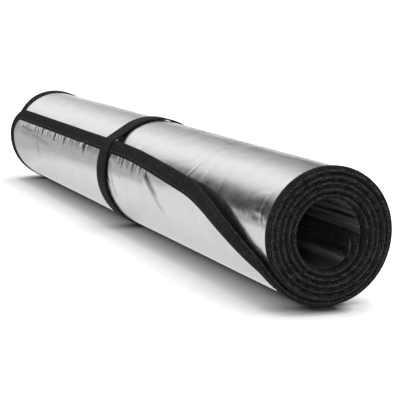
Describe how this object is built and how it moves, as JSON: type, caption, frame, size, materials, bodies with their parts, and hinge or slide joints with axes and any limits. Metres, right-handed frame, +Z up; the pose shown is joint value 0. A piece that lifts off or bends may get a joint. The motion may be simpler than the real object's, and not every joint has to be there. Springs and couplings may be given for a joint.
{
  "type": "foam sleeping pad",
  "caption": "Foil-faced foam mat with a fabric-bound edge, rolled into a spiral and held by an elastic strap that slides off.",
  "frame": {"origin": "centre of the bounding box on the ground, under the middle of the roll", "axes": "+X along the roll towards the end where the mat's free edge sweeps round, -Y towards the front where the free edge lies, +Z up"},
  "size_m": [0.762, 0.1174, 0.1138],
  "materials": {
    "foil": "bright crinkled film",
    "foam": "matt closed-cell foam",
    "lining": "felted non-woven",
    "binding": "woven tape",
    "strap": "ribbed elastic webbing",
    "thread": "polyester thread"
  },
  "bodies": {
    "roll": {"foil_facing": "foil", "foam_core": "foam", "inner_lining": "lining", "binding_near_side": "binding", "binding_far_side": "binding", "binding_outer_end": "binding", "binding_inner_end": "binding"},
    "strap": {"elastic_strap": "strap", "strap_bartacks": "thread"}
  },
  "joints": [
    {"name": "strap_slide", "type": "slide", "parent": "roll", "child": "strap", "axis": [1, 0, 0], "range_m": [-0.395, 0.41]}
  ]
}
